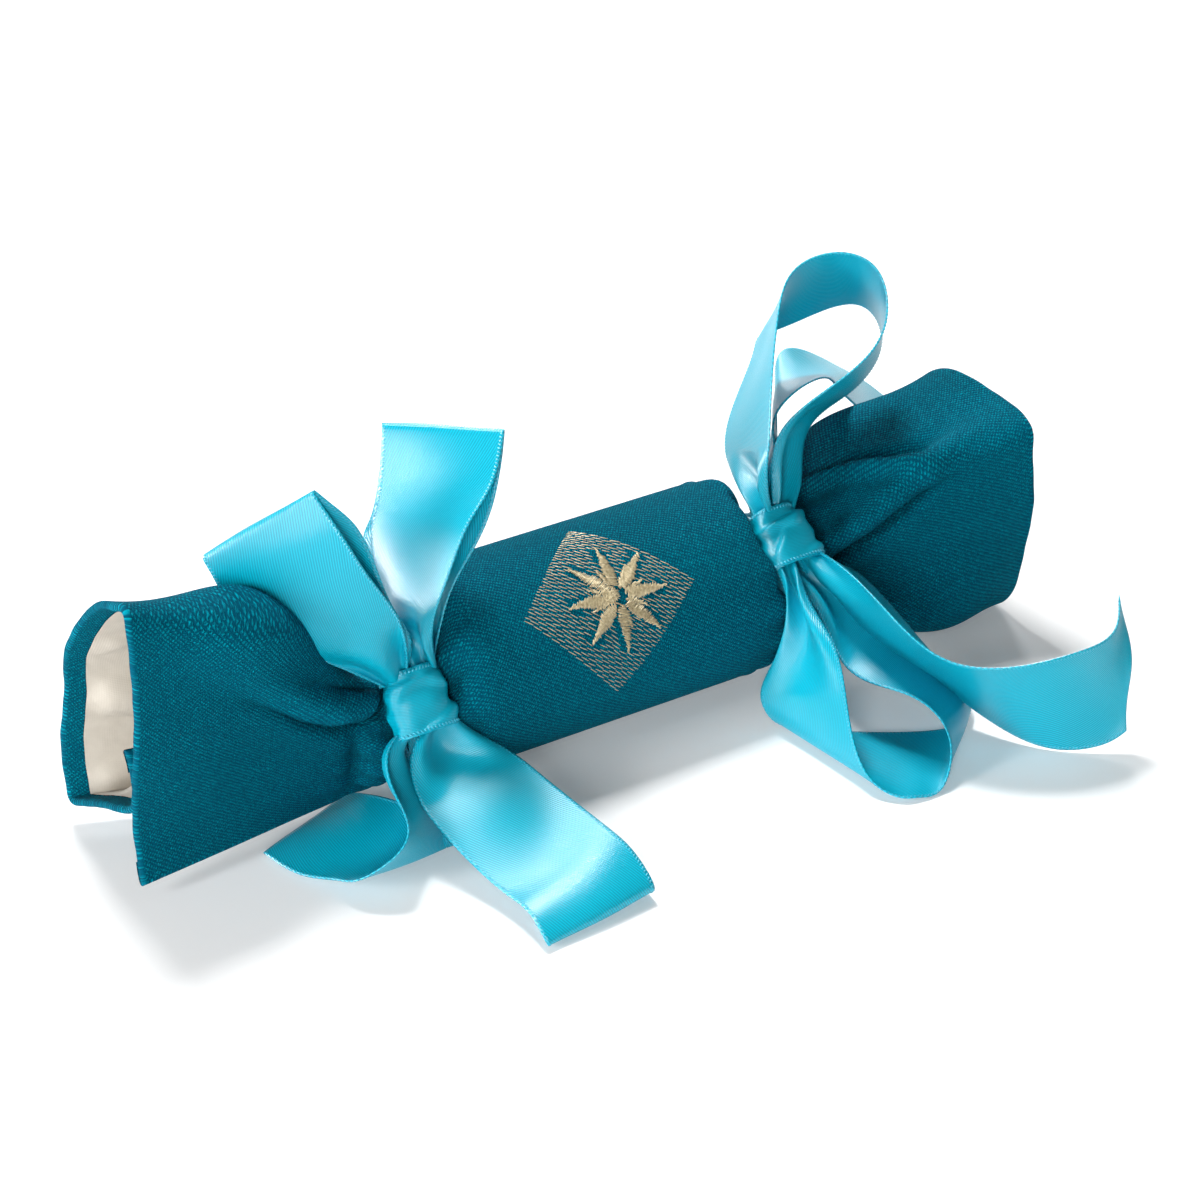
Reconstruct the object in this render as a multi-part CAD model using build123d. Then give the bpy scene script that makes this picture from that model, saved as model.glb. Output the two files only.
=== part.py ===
from build123d import *
import os
from math import cos, exp, hypot, pi, radians, sin, sqrt

# Reusable cloth christmas cracker, lying on a table: a lined velour cloth rolled round a card tube, tied at both
# necks with satin ribbon bows, with a snap drawn through the middle and the contents inside the tube.
# Millimetres. X runs along the tube, -Y faces the viewer, +Z is up, and Z = 0 is the table.

# Card tube and rolled cloth
TUBE_LENGTH = 66.0
TUBE_DIAMETER = 34.0
TUBE_WALL = 1.0
CLOTH_THICKNESS = 1.2
LINING_THICKNESS = 0.4
LAYER_GAP = 0.2
LAP_ANGLE = 110.0
BARREL_EDGE_ANGLE = 300.0
REST_FLAT_DEPTH = 0.5

# Tied necks
NECK_SPACING = 92.0
NECK_RADIUS = 12.0
NECK_LOBES = 12
NECK_LOBE_DEPTH = 0.9
LEFT_NECK_PLACE = (-2.0, 15.5)
RIGHT_NECK_PLACE = (-1.0, 19.0)

# Open ends: length past the neck, where the free edge leaves the neck, and the mouth's line from the inner edge
# of the cloth round to its free edge, as (y, z)
LEFT_END_LENGTH = 61.0
LEFT_EDGE_ANGLE = 245.0
LEFT_MOUTH = [(-9.0, 31.0), (-9.5, 20.0), (5.0, 10.0), (18.0, 5.5), (18.5, 18.0), (10.0, 43.0),
              (-4.0, 58.5), (-12.5, 60.0), (-13.5, 46.0), (-13.0, 26.0), (-13.5, 5.5)]
RIGHT_END_LENGTH = 51.0
RIGHT_EDGE_ANGLE = 285.0
RIGHT_MOUTH = [(-9.0, 13.0), (-2.0, 8.0), (8.0, 5.5), (17.0, 11.0), (19.5, 26.0), (12.0, 42.0),
               (0.0, 48.0), (-13.0, 47.5), (-20.0, 40.0), (-20.5, 22.0), (-13.5, 5.0), (-3.0, 4.0)]
NECK_STRAIGHT = 9.0
FLARE_POWER = 0.8
GATHER_HEIGHT = 1.6
GATHER_PLACE = 15.0
GATHER_SPREAD = 9.0
HEM_WIDTH = 4.0
HEM_STEP = 0.4
ROLL_ARCS = 10

# Satin ribbon bows
RIBBON_WIDTH = 25.0
RIBBON_THICKNESS = 0.5
BAND_WIDTH = 9.0
BAND_CLEARANCE = 0.4
KNOT_SIZE = (12.5, 13.0, 7.0)
KNOT_ROUNDING = 2.5
KNOT_GAP = 0.2
KNOT_GRIP_WIDTH = 5.6
LEFT_KNOT_ANGLE = 143.0
LEFT_KNOT_SHIFT = -1.5
RIGHT_KNOT_ANGLE = 119.0
RIGHT_KNOT_SHIFT = 1.6

# Gold embroidery on the side of the barrel that faces the viewer
EMBROIDERY_X = -3.5
EMBROIDERY_ANGLE = 137.0
STAR_RADIUS = 11.5
STAR_NOTCH_RADIUS = 5.2
STAR_POINTS = 8
STAR_HEIGHT = 0.6
DIAMOND_SIDE = 28.5
DIAMOND_HEIGHT = 0.25
STITCH_GAP = 0.1

# Snap
SNAP_LENGTH = 156.0
SNAP_OVERLAP = 20.0
SNAP_WIDTH = 8.0
SNAP_CARD = 0.5
SNAP_PATCH_HEIGHT = 0.35
SNAP_PATCH_LENGTH = 12.0
SNAP_PATCH_WIDTH = 6.0
SNAP_GAP = 0.1
SNAP_HEIGHT = 17.0
SNAP_SLEEVE_LENGTH = 26.0
SNAP_SLEEVE_PAPER = 0.3
SNAP_SLEEVE_CLEARANCE = 0.3
SLOT_CLEARANCE = 0.25

# Contents
HAT_SIZE = (38.0, 15.0, 2.4)
HAT_X = -11.0
MOTTO_SIZE = (30.0, 11.0, 0.8)
DIE_EDGE = 6.0
DIE_X = 19.0
DIE_ROUNDING = 0.6
SEAT_GAP = 0.1

# Worked out from the sizes above
TURN_PITCH = LINING_THICKNESS + CLOTH_THICKNESS + 2 * LAYER_GAP
ROLL_ANGLE = 360.0 + LAP_ANGLE
CLOTH_INSIDE = LINING_THICKNESS + LAYER_GAP
CLOTH_OUTSIDE = CLOTH_INSIDE + CLOTH_THICKNESS
TUBE_RADIUS = TUBE_DIAMETER / 2
NECK_X = NECK_SPACING / 2
BAND_RADIUS = NECK_RADIUS + BAND_CLEARANCE
BAND_OUTSIDE = BAND_RADIUS + RIBBON_THICKNESS
NECK_BORE = NECK_RADIUS - LAYER_GAP - TURN_PITCH * ROLL_ANGLE / 360 - CLOTH_OUTSIDE - LAYER_GAP
NECK_EDGE = BAND_WIDTH / 2 + LAYER_GAP


def base_radius(bore, angle, edge_angle):
    """Radius of the lining's inner face on a roll whose free edge is at edge_angle."""
    turned = angle - (edge_angle - ROLL_ANGLE)
    return bore + LAYER_GAP + TURN_PITCH * turned / 360


AXIS_HEIGHT = base_radius(TUBE_RADIUS, 270, BARREL_EDGE_ANGLE) + CLOTH_OUTSIDE - REST_FLAT_DEPTH
AXIS_PLACE = (0.0, AXIS_HEIGHT)


# Rolled cloth
def roll_line(bore, centre, edge_angle):
    """Points and outward directions along the roll, from the cloth's inner edge to its free edge."""
    steps = 2 * ROLL_ARCS
    points = []
    normals = []
    for i in range(steps + 1):
        angle = edge_angle - ROLL_ANGLE + ROLL_ANGLE * i / steps
        out = (cos(radians(angle)), sin(radians(angle)))
        r = base_radius(bore, angle, edge_angle)
        points.append((centre[0] + r * out[0], centre[1] + r * out[1]))
        normals.append(out)
    return points, normals


def smooth_line(corners, steps):
    """Evenly parted points on a smooth curve through the corners."""
    spans = [hypot(b[0] - a[0], b[1] - a[1]) for a, b in zip(corners, corners[1:])]
    marks = [sum(spans[:i]) for i in range(len(corners))]
    points = []
    for i in range(steps + 1):
        place = marks[-1] * i / steps
        k = max(j for j in range(len(spans)) if marks[j] <= place + 1e-9)
        u = (place - marks[k]) / spans[k]
        p0 = corners[max(k - 1, 0)]
        p1 = corners[k]
        p2 = corners[k + 1]
        p3 = corners[min(k + 2, len(corners) - 1)]
        points.append(tuple(
            0.5 * (2 * b + (c - a) * u + (2 * a - 5 * b + 4 * c - d) * u**2 + (3 * b - a - 3 * c + d) * u**3)
            for a, b, c, d in zip(p0, p1, p2, p3)))
    return points


def outward(points):
    """Unit directions square to the line, away from the inside of the roll."""
    normals = []
    for i in range(len(points)):
        a = points[max(i - 1, 0)]
        b = points[min(i + 1, len(points) - 1)]
        run = hypot(b[0] - a[0], b[1] - a[1])
        normals.append(((b[1] - a[1]) / run, (a[0] - b[0]) / run))
    return normals


def layer_section(x, line, inside, outside):
    """Closed outline of one cloth layer at x, between two distances outward from the line."""
    def offset(distance):
        return [Vector(x, p[0] + distance * n[0], p[1] + distance * n[1]) for p, n in zip(*line)]

    outer = offset(outside)
    inner = offset(inside)[::-1]
    edges = [ThreePointArc(*outer[i:i + 3]) for i in range(0, len(outer) - 2, 2)]
    edges.append(Line(outer[-1], inner[0]))
    edges += [ThreePointArc(*inner[i:i + 3]) for i in range(0, len(inner) - 2, 2)]
    edges.append(Line(inner[-1], outer[0]))
    return Wire(edges)


def barrel_stations():
    """Places along X with the roll there: straight over the tube, rounded down to the necks."""
    stations = []
    shoulder_steps = 4
    for side, neck in ((-1, LEFT_NECK_PLACE), (1, RIGHT_NECK_PLACE)):
        half = []
        for i in range(shoulder_steps + 1):
            turn = pi / 2 * i / shoulder_steps
            reach = NECK_X - NECK_EDGE - TUBE_LENGTH / 2
            x = side * (TUBE_LENGTH / 2 + reach * sin(turn))
            share = 1 - cos(turn)
            bore = TUBE_RADIUS + (NECK_BORE - TUBE_RADIUS) * share
            centre = tuple(a + (n - a) * share for a, n in zip(AXIS_PLACE, neck))
            half.append((x, roll_line(bore, centre, BARREL_EDGE_ANGLE)))
        stations += half[::-1] if side < 0 else half
    return stations


def barrel_layer(inside, outside):
    sections = [layer_section(x, line, inside, outside) for x, line in barrel_stations()]
    layer = Solid.make_loft(sections, ruled=True)
    table = Box(NECK_SPACING, 4 * TUBE_DIAMETER, TUBE_DIAMETER, align=(Align.CENTER, Align.CENTER, Align.MAX))
    return layer - table


def end_line(neck, edge_angle, mouth, distance, length):
    """The cloth's line at a distance past the neck's middle, with gathers that fade towards the mouth."""
    steps = 2 * ROLL_ARCS
    root, _ = roll_line(NECK_BORE, neck, edge_angle)
    rim = smooth_line(mouth, steps)
    share = (max(distance - NECK_STRAIGHT, 0) / (length - NECK_STRAIGHT)) ** FLARE_POWER
    points = [tuple(a + (b - a) * share for a, b in zip(p, q)) for p, q in zip(root, rim)]
    height = GATHER_HEIGHT * exp(-((distance - GATHER_PLACE) / GATHER_SPREAD) ** 2)
    normals = outward(points)
    lapped = 2 * ROLL_ARCS * LAP_ANGLE / ROLL_ANGLE
    for i in range(1, steps, 2):
        if i > lapped and distance > NECK_STRAIGHT:
            points[i] = tuple(p + height * n for p, n in zip(points[i], normals[i]))
    return points, outward(points)


def end_layer(side, neck, edge_angle, mouth, length, layer):
    """Velour or lining past one neck, from the tie to the mouth."""
    hem_start = length - HEM_WIDTH
    free_run = [NECK_EDGE, NECK_STRAIGHT, 12.0, 17.0, 24.0, 34.0, 45.0]
    reach = [d for d in free_run if d < hem_start - 2 * HEM_STEP]
    if layer == "velour":
        reach += [hem_start - HEM_STEP, hem_start, length]
        inside = [CLOTH_INSIDE if d < hem_start else 0.0 for d in reach]
        outside = [CLOTH_OUTSIDE] * len(reach)
    else:
        reach += [hem_start - HEM_STEP - LAYER_GAP]
        inside = [0.0] * len(reach)
        outside = [LINING_THICKNESS] * len(reach)
    sections = []
    for d, low, high in zip(reach, inside, outside):
        line = end_line(neck, edge_angle, mouth, d, length)
        sections.append(layer_section(side * (NECK_X + d), line, low, high))
    return Solid.make_loft(sections, ruled=True)


def neck_gather(side, neck):
    """Pleated cloth squeezed inside the tie, with a slot that grips one snap strip."""
    def rim(radius, step):
        turn = pi * step / NECK_LOBES
        return (neck[0] + radius * cos(turn), neck[1] + radius * sin(turn))

    valley = NECK_RADIUS - NECK_LOBE_DEPTH
    pleats = [ThreePointArc(rim(NECK_RADIUS, i), rim(valley, i + 1), rim(NECK_RADIUS, i + 2))
              for i in range(0, 2 * NECK_LOBES, 2)]
    plane = Plane(origin=(side * NECK_X - BAND_WIDTH / 2, 0, 0), x_dir=(0, 1, 0), z_dir=(1, 0, 0))
    core = extrude(plane * make_face(Wire(pleats)), BAND_WIDTH)
    card_middle = -side * (SNAP_PATCH_HEIGHT + SNAP_GAP / 2 + SNAP_CARD / 2)
    slot = Box(2 * BAND_WIDTH, SNAP_CARD + 2 * SLOT_CLEARANCE, SNAP_WIDTH + 2 * SLOT_CLEARANCE)
    return core - Pos(side * NECK_X, card_middle, SNAP_HEIGHT) * slot


# Ribbon bows
def knot_frame(side):
    """Middle of a knot, its upward direction along the band, and its outward direction."""
    neck, angle, shift = ((LEFT_NECK_PLACE, LEFT_KNOT_ANGLE, LEFT_KNOT_SHIFT) if side < 0
                          else (RIGHT_NECK_PLACE, RIGHT_KNOT_ANGLE, RIGHT_KNOT_SHIFT))
    out = Vector(0, cos(radians(angle)), sin(radians(angle)))
    rise = Vector(0, sin(radians(angle)), -cos(radians(angle)))
    stand = BAND_OUTSIDE + KNOT_GAP + KNOT_SIZE[2] / 2
    middle = Vector(side * NECK_X + shift, *neck) + out * stand
    return middle, rise, out


def knot(side):
    middle, rise, out = knot_frame(side)
    block = fillet(Box(*KNOT_SIZE).edges(), KNOT_ROUNDING)
    return Plane(origin=middle, x_dir=(1, 0, 0), z_dir=out) * block


def ribbon_band(side, neck):
    plane = Plane(origin=(side * NECK_X - BAND_WIDTH / 2, *neck), x_dir=(0, 1, 0), z_dir=(1, 0, 0))
    ring = Circle(BAND_OUTSIDE) - Circle(BAND_RADIUS)
    return extrude(plane * ring, BAND_WIDTH)


def grip(side, face, along, depth):
    """Where a ribbon leaves a knot: face is 1 on top or -1 below, along runs on X, depth outwards."""
    middle, rise, out = knot_frame(side)
    reach = KNOT_SIZE[1] / 2 + KNOT_GAP + RIBBON_THICKNESS / 2
    place = middle + rise * (face * reach) + Vector(along, 0, 0) + out * depth
    return place, Vector(1, 0, 0), KNOT_GRIP_WIDTH


def ribbon(side, start, route, end=None):
    """Flat ribbon through hand-chosen places: middle, direction across the ribbon, and width there."""
    stops = [grip(side, *start)]
    flip = 1 if Vector(*route[0][1]).X >= 0 else -1
    stops[0] = (stops[0][0], stops[0][1] * flip, stops[0][2])
    stops += [(Vector(*place), Vector(*across).normalized(), width) for place, across, width in route]
    if end:
        place, across, width = grip(side, *end)
        flip = 1 if stops[-1][1].X >= 0 else -1
        stops.append((place, across * flip, width))
    sections = []
    for i, (place, across, width) in enumerate(stops):
        before = stops[max(i - 1, 0)][0]
        after = stops[min(i + 1, len(stops) - 1)][0]
        up = (after - before).cross(across).normalized() * (RIBBON_THICKNESS / 2)
        half = across * (width / 2)
        sections.append([place - half - up, place + half - up, place + half + up, place - half + up])
    faces = [Face(Wire.make_polygon(corners, close=True)) for corners in (sections[0], sections[-1])]
    for near, far in zip(sections, sections[1:]):
        for k in range(4):
            m = (k + 1) % 4
            faces.append(Face.make_bezier_surface([[near[k], near[m]], [far[k], far[m]]]))
    return Solid(Shell(faces))


W = RIBBON_WIDTH
LEFT_LOOP_LOW = [
    ((-54, -14, 39), (-0.78, -0.6, 0.17), 14), ((-59, -14, 47), (-0.87, -0.49, 0.05), 21),
    ((-64, -13, 54), (-0.94, -0.34, -0.08), W), ((-69, -12, 61), (-0.95, -0.19, -0.24), W),
    ((-73, -10, 67), (-0.96, -0.06, -0.26), W), ((-76, -7, 70), (-0.97, -0.01, -0.24), W),
    ((-75, -3, 68), (-0.97, 0.03, -0.25), W), ((-71, -2, 60), (-0.96, 0.04, -0.25), W),
    ((-63, -4, 49), (-0.98, -0.1, -0.12), 23), ((-55, -9, 38), (-0.95, -0.3, 0.05), 15)]
LEFT_LOOP_HIGH = [
    ((-43.5, -11, 42), (0.8, 0.5, -0.3), 14), ((-43, -8, 51), (0.88, 0.29, -0.34), 20),
    ((-40, -6, 58), (0.99, 0.0, -0.16), 24), ((-36, -4, 67), (0.97, -0.15, -0.2), W),
    ((-33.5, -1.5, 75), (0.96, -0.18, -0.2), W), ((-32, 2.5, 73), (0.96, -0.18, -0.2), W),
    ((-31, 3.5, 63), (0.97, -0.14, -0.2), W), ((-33, 2, 54), (0.98, 0.02, -0.18), 24),
    ((-41, -3.5, 46), (0.92, 0.38, -0.05), 13), ((-43.5, -7.5, 38), (0.92, 0.35, 0.0), 7)]
LEFT_TAIL_FRONT = [
    ((-44.5, -24, 16), (0.95, 0.3, -0.15), 17), ((-44.5, -29, 13), (0.99, 0.1, -0.03), 23),
    ((-43, -38, 10.5), (0.97, -0.2, 0.13), W), ((-41, -49, 8), (0.93, -0.28, 0.2), W),
    ((-40, -59, 6.5), (0.99, 0.0, 0.12), W), ((-40.5, -66, 5), (0.99, 0.08, 0.1), W),
    ((-41, -70, 3), (0.99, 0.12, 0.06), W), ((-41, -69.5, 1.4), (0.99, 0.12, 0.02), W),
    ((-41, -65, 0.8), (0.99, 0.1, 0.0), W)]
LEFT_TAIL_CURL = [
    ((-53, -23, 15.5), (0.8, 0.45, -0.4), 12), ((-54.5, -28, 12.5), (0.85, 0.36, -0.36), 17),
    ((-56, -33, 9.5), (0.9, 0.28, -0.3), 21), ((-58.5, -36, 6), (0.95, 0.23, -0.12), 24),
    ((-62, -33, 4.2), (0.92, 0.33, 0.12), W), ((-65.5, -27, 4), (0.8, 0.5, 0.2), W),
    ((-69, -20, 3), (0.78, 0.55, 0.08), W), ((-74, -13, 1.5), (0.8, 0.58, 0.0), W),
    ((-79, -8, 1.0), (0.8, 0.6, 0.0), W)]
RIGHT_LOOP_HIGH = [
    ((37.5, -5, 44), (0.35, 0.8, -0.45), 14), ((35.5, -6, 52), (0.21, 0.88, -0.42), 21),
    ((37.5, -5, 63), (0.23, 0.88, -0.43), W), ((41, -4, 74), (0.36, 0.8, -0.46), W),
    ((45, -2, 80.5), (0.34, 0.64, -0.69), W), ((51, -1, 82.5), (0.27, 0.52, -0.81), W),
    ((58.5, 0, 82), (0.29, 0.52, -0.8), W), ((66.5, 1, 79), (0.37, 0.61, -0.7), W),
    ((72.5, 2, 73), (0.43, 0.69, -0.58), W), ((76, 3, 66.5), (0.5, 0.72, -0.48), W),
    ((75, 3, 60), (0.58, 0.67, -0.46), W), ((68, 2, 55.5), (0.62, 0.63, -0.47), 22),
    ((58, -0.5, 52.5), (0.6, 0.63, -0.5), 17), ((51, -2, 46), (0.75, 0.55, -0.35), 11)]
RIGHT_TAIL_BACK = [
    ((47, 5, 44), (0.75, 0.65, -0.1), 12), ((51, 9, 51), (0.62, 0.78, 0.03), 20),
    ((57, 13, 54.5), (0.6, 0.8, 0.02), W), ((65, 17, 53.5), (0.62, 0.77, -0.13), W),
    ((75, 21, 48.5), (0.62, 0.74, -0.26), W), ((84, 25, 40), (0.66, 0.7, -0.28), W),
    ((90, 28, 31), (0.7, 0.68, -0.22), W)]
RIGHT_LOOP_LOW = [
    ((40, -23.5, 26), (0.5, 0.7, -0.5), 10), ((34.5, -30, 20), (0.06, 0.9, -0.43), 18),
    ((30.5, -33, 15), (-0.12, 0.9, -0.42), W), ((26.5, -40, 13), (-0.11, 0.92, -0.37), W),
    ((26, -45, 9.5), (0.12, 0.92, -0.36), W), ((28, -50, 6), (0.32, 0.92, -0.2), W),
    ((33, -53, 3), (0.4, 0.91, -0.08), W), ((39, -56, 1.6), (0.44, 0.9, 0.0), W),
    ((45.5, -59, 2.8), (0.48, 0.87, -0.1), W), ((50, -57, 6.5), (0.45, 0.82, -0.34), W),
    ((54, -52, 8.5), (0.38, 0.82, -0.42), W), ((55, -46, 8.5), (0.35, 0.83, -0.44), W),
    ((53, -37, 9), (0.3, 0.8, -0.5), 24), ((50, -28, 12), (0.4, 0.75, -0.5), 18),
    ((47.5, -21, 21), (0.75, 0.5, -0.4), 10)]
RIGHT_TAIL_FRONT = [
    ((49.5, -25, 25.5), (0.8, 0.55, -0.25), 12), ((50.5, -38, 21), (0.75, 0.58, -0.3), 21),
    ((54.5, -45.5, 15.5), (0.7, 0.65, -0.3), W), ((60, -50, 12), (0.7, 0.66, -0.28), W),
    ((67.5, -51, 7), (0.72, 0.68, -0.12), W), ((75, -54, 4), (0.69, 0.7, 0.18), W),
    ((79, -60, 6), (0.64, 0.66, 0.38), W), ((85, -64, 9.5), (0.52, 0.64, 0.57), W),
    ((89, -65, 13.5), (0.2, 0.5, 0.84), W)]


# Embroidery
def stitched_radius():
    return base_radius(TUBE_RADIUS, EMBROIDERY_ANGLE, BARREL_EDGE_ANGLE) + CLOTH_OUTSIDE + STITCH_GAP


def stitched_skin(height):
    """Thin skin that follows the cloth's rolled outside round the embroidery."""
    turn = radians(EMBROIDERY_ANGLE)
    climb = TURN_PITCH / (2 * pi)
    centre = (-climb * sin(turn), AXIS_HEIGHT + climb * cos(turn))
    plane = Plane(origin=(-TUBE_LENGTH / 2, *centre), x_dir=(0, 1, 0), z_dir=(1, 0, 0))
    return extrude(plane * (Circle(stitched_radius() + height) - Circle(stitched_radius())), TUBE_LENGTH)


def stitched_prism(corners):
    """Prism that stands out through a flat pattern, with the pattern laid round the barrel."""
    radius = stitched_radius()
    turn = radians(EMBROIDERY_ANGLE)
    plane = Plane(origin=(EMBROIDERY_X, *AXIS_PLACE), x_dir=(1, 0, 0), z_dir=(0, cos(turn), sin(turn)))
    seen = [(along, radius * sin(round_barrel / radius)) for along, round_barrel in corners]
    return extrude(plane * make_face(Polyline(*seen, close=True)), TUBE_DIAMETER)


def star_corners(growth):
    corners = []
    for i in range(2 * STAR_POINTS):
        r = (STAR_NOTCH_RADIUS if i % 2 else STAR_RADIUS) + growth
        turn = pi * i / STAR_POINTS
        corners.append((r * sin(turn), r * cos(turn)))
    return corners


def diamond_corners():
    reach = DIAMOND_SIDE / sqrt(2)
    tips = [(0, reach), (reach, 0), (0, -reach), (-reach, 0)]
    steps = 4
    corners = []
    for tip, after in zip(tips, tips[1:] + tips[:1]):
        for i in range(steps):
            corners.append(tuple(a + (b - a) * i / steps for a, b in zip(tip, after)))
    return corners


def star_embroidery():
    return stitched_skin(STAR_HEIGHT) & stitched_prism(star_corners(0))


def diamond_stitching():
    stitched = stitched_prism(diamond_corners()) - stitched_prism(star_corners(LAYER_GAP))
    return stitched_skin(DIAMOND_HEIGHT) & stitched


# Snap
def snap_strip(side):
    """One card strip, from its end in the sleeve out into the open end of the cloth."""
    length = (SNAP_LENGTH + SNAP_OVERLAP) / 2
    middle = side * (SNAP_LENGTH - SNAP_OVERLAP) / 4
    card_middle = -side * (SNAP_PATCH_HEIGHT + SNAP_GAP / 2 + SNAP_CARD / 2)
    return Pos(middle, card_middle, SNAP_HEIGHT) * Box(length, SNAP_CARD, SNAP_WIDTH)


def snap_patch(side):
    """Charge or striker on the inner face of one strip, at its sleeve end."""
    middle = -side * (SNAP_OVERLAP - SNAP_PATCH_LENGTH) / 2
    face = -side * (SNAP_GAP / 2 + SNAP_PATCH_HEIGHT / 2)
    return Pos(middle, face, SNAP_HEIGHT) * Box(SNAP_PATCH_LENGTH, SNAP_PATCH_HEIGHT, SNAP_PATCH_WIDTH)


def snap_sleeve():
    """Folded paper sleeve round both strips where they lap."""
    inner_y = 2 * (SNAP_PATCH_HEIGHT + SNAP_GAP / 2 + SNAP_CARD + SNAP_SLEEVE_CLEARANCE)
    inner_z = SNAP_WIDTH + 2 * SNAP_SLEEVE_CLEARANCE
    paper = 2 * SNAP_SLEEVE_PAPER
    outer = Box(SNAP_SLEEVE_LENGTH, inner_y + paper, inner_z + paper)
    inner = Box(2 * SNAP_SLEEVE_LENGTH, inner_y, inner_z)
    return Pos(0, 0, SNAP_HEIGHT) * (outer - inner)


# Contents
def seat_height(width):
    """Height at which a flat thing of this width rests across the inside of the tube."""
    inner = TUBE_RADIUS - TUBE_WALL
    return AXIS_HEIGHT - sqrt(inner**2 - (width / 2) ** 2) + SEAT_GAP


ON_SEAT = (Align.CENTER, Align.CENTER, Align.MIN)


def paper_hat():
    return Pos(HAT_X, 0, seat_height(HAT_SIZE[1])) * Box(*HAT_SIZE, align=ON_SEAT)


def motto_slip():
    seat = seat_height(HAT_SIZE[1]) + HAT_SIZE[2] + SEAT_GAP
    return Pos(HAT_X, 0, seat) * Box(*MOTTO_SIZE, align=ON_SEAT)


def gift_die():
    cube = fillet(Box(DIE_EDGE, DIE_EDGE, DIE_EDGE, align=ON_SEAT).edges(), DIE_ROUNDING)
    return Pos(DIE_X, 0, seat_height(DIE_EDGE)) * cube


def card_tube():
    plane = Plane(origin=(-TUBE_LENGTH / 2, *AXIS_PLACE), x_dir=(0, 1, 0), z_dir=(1, 0, 0))
    return extrude(plane * (Circle(TUBE_RADIUS) - Circle(TUBE_RADIUS - TUBE_WALL)), TUBE_LENGTH)


left_end = (-1, LEFT_NECK_PLACE, LEFT_EDGE_ANGLE, LEFT_MOUTH, LEFT_END_LENGTH)
right_end = (1, RIGHT_NECK_PLACE, RIGHT_EDGE_ANGLE, RIGHT_MOUTH, RIGHT_END_LENGTH)
nodes = {
    "card_tube": card_tube(),
    "wrap_barrel": barrel_layer(CLOTH_INSIDE, CLOTH_OUTSIDE),
    "lining_barrel": barrel_layer(0.0, LINING_THICKNESS),
    "wrap_left_end": end_layer(*left_end, "velour"),
    "lining_left_end": end_layer(*left_end, "lining"),
    "wrap_right_end": end_layer(*right_end, "velour"),
    "lining_right_end": end_layer(*right_end, "lining"),
    "left_neck_gather": neck_gather(-1, LEFT_NECK_PLACE),
    "right_neck_gather": neck_gather(1, RIGHT_NECK_PLACE),
    "left_ribbon_band": ribbon_band(-1, LEFT_NECK_PLACE),
    "left_knot": knot(-1),
    "left_loop_low": ribbon(-1, (1, -3.5, 2.2), LEFT_LOOP_LOW, (1, -3.5, -1.5)),
    "left_loop_high": ribbon(-1, (1, 3.5, 2.2), LEFT_LOOP_HIGH, (1, 3.5, -1.5)),
    "left_tail_front": ribbon(-1, (-1, 3.2, 1.0), LEFT_TAIL_FRONT),
    "left_tail_curl": ribbon(-1, (-1, -3.5, 1.0), LEFT_TAIL_CURL),
    "right_ribbon_band": ribbon_band(1, RIGHT_NECK_PLACE),
    "right_knot": knot(1),
    "right_loop_high": ribbon(1, (1, -3.5, 2.2), RIGHT_LOOP_HIGH, (1, 3.0, 0.4)),
    "right_tail_back": ribbon(1, (1, -0.5, -1.8), RIGHT_TAIL_BACK),
    "right_loop_low": ribbon(1, (-1, -3.8, 1.6), RIGHT_LOOP_LOW, (-1, 0.0, -1.6)),
    "right_tail_front": ribbon(1, (-1, 3.5, 1.6), RIGHT_TAIL_FRONT),
    "star_embroidery": star_embroidery(),
    "diamond_stitching": diamond_stitching(),
    "snap_left_strip": snap_strip(-1),
    "snap_charge": snap_patch(-1),
    "snap_right_strip": snap_strip(1),
    "snap_striker": snap_patch(1),
    "snap_sleeve": snap_sleeve(),
    "paper_hat": paper_hat(),
    "motto_slip": motto_slip(),
    "gift_die": gift_die(),
}

os.makedirs("parts", exist_ok=True)
for name, shape in nodes.items():
    export_step(shape, f"parts/{name}.step")
    print(name, round(shape.volume, 1))
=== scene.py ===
from math import cos, pi, radians, sin

import bmesh
import bpy
import numpy as np
from mathutils import Matrix, Vector


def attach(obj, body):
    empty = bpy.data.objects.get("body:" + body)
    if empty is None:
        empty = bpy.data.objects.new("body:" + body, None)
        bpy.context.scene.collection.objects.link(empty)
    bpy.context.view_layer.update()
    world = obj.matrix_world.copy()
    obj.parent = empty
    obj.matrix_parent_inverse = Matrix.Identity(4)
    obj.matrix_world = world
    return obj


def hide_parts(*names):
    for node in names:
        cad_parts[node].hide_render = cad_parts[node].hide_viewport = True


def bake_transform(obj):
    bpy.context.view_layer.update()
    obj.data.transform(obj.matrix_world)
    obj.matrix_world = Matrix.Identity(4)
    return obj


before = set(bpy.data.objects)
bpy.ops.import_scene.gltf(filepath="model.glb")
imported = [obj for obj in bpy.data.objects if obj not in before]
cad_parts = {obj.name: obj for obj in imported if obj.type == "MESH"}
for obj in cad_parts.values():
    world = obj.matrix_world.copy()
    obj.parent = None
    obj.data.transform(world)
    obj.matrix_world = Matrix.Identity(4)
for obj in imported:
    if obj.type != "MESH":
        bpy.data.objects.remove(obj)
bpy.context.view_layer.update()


# Camera. It stands at the photograph's angle, above the near end of the cracker, and looks down at it.
# Lengths in this file are millimetres until a mesh is made, and one scale turns them to metres.
MM = 0.001
VIEW_CENTRE = (3.3, 0.0, 24.3)
VIEW_DISTANCE = 653.06
VIEW_AZIMUTH = radians(-33)
VIEW_ELEVATION = radians(30)

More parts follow.
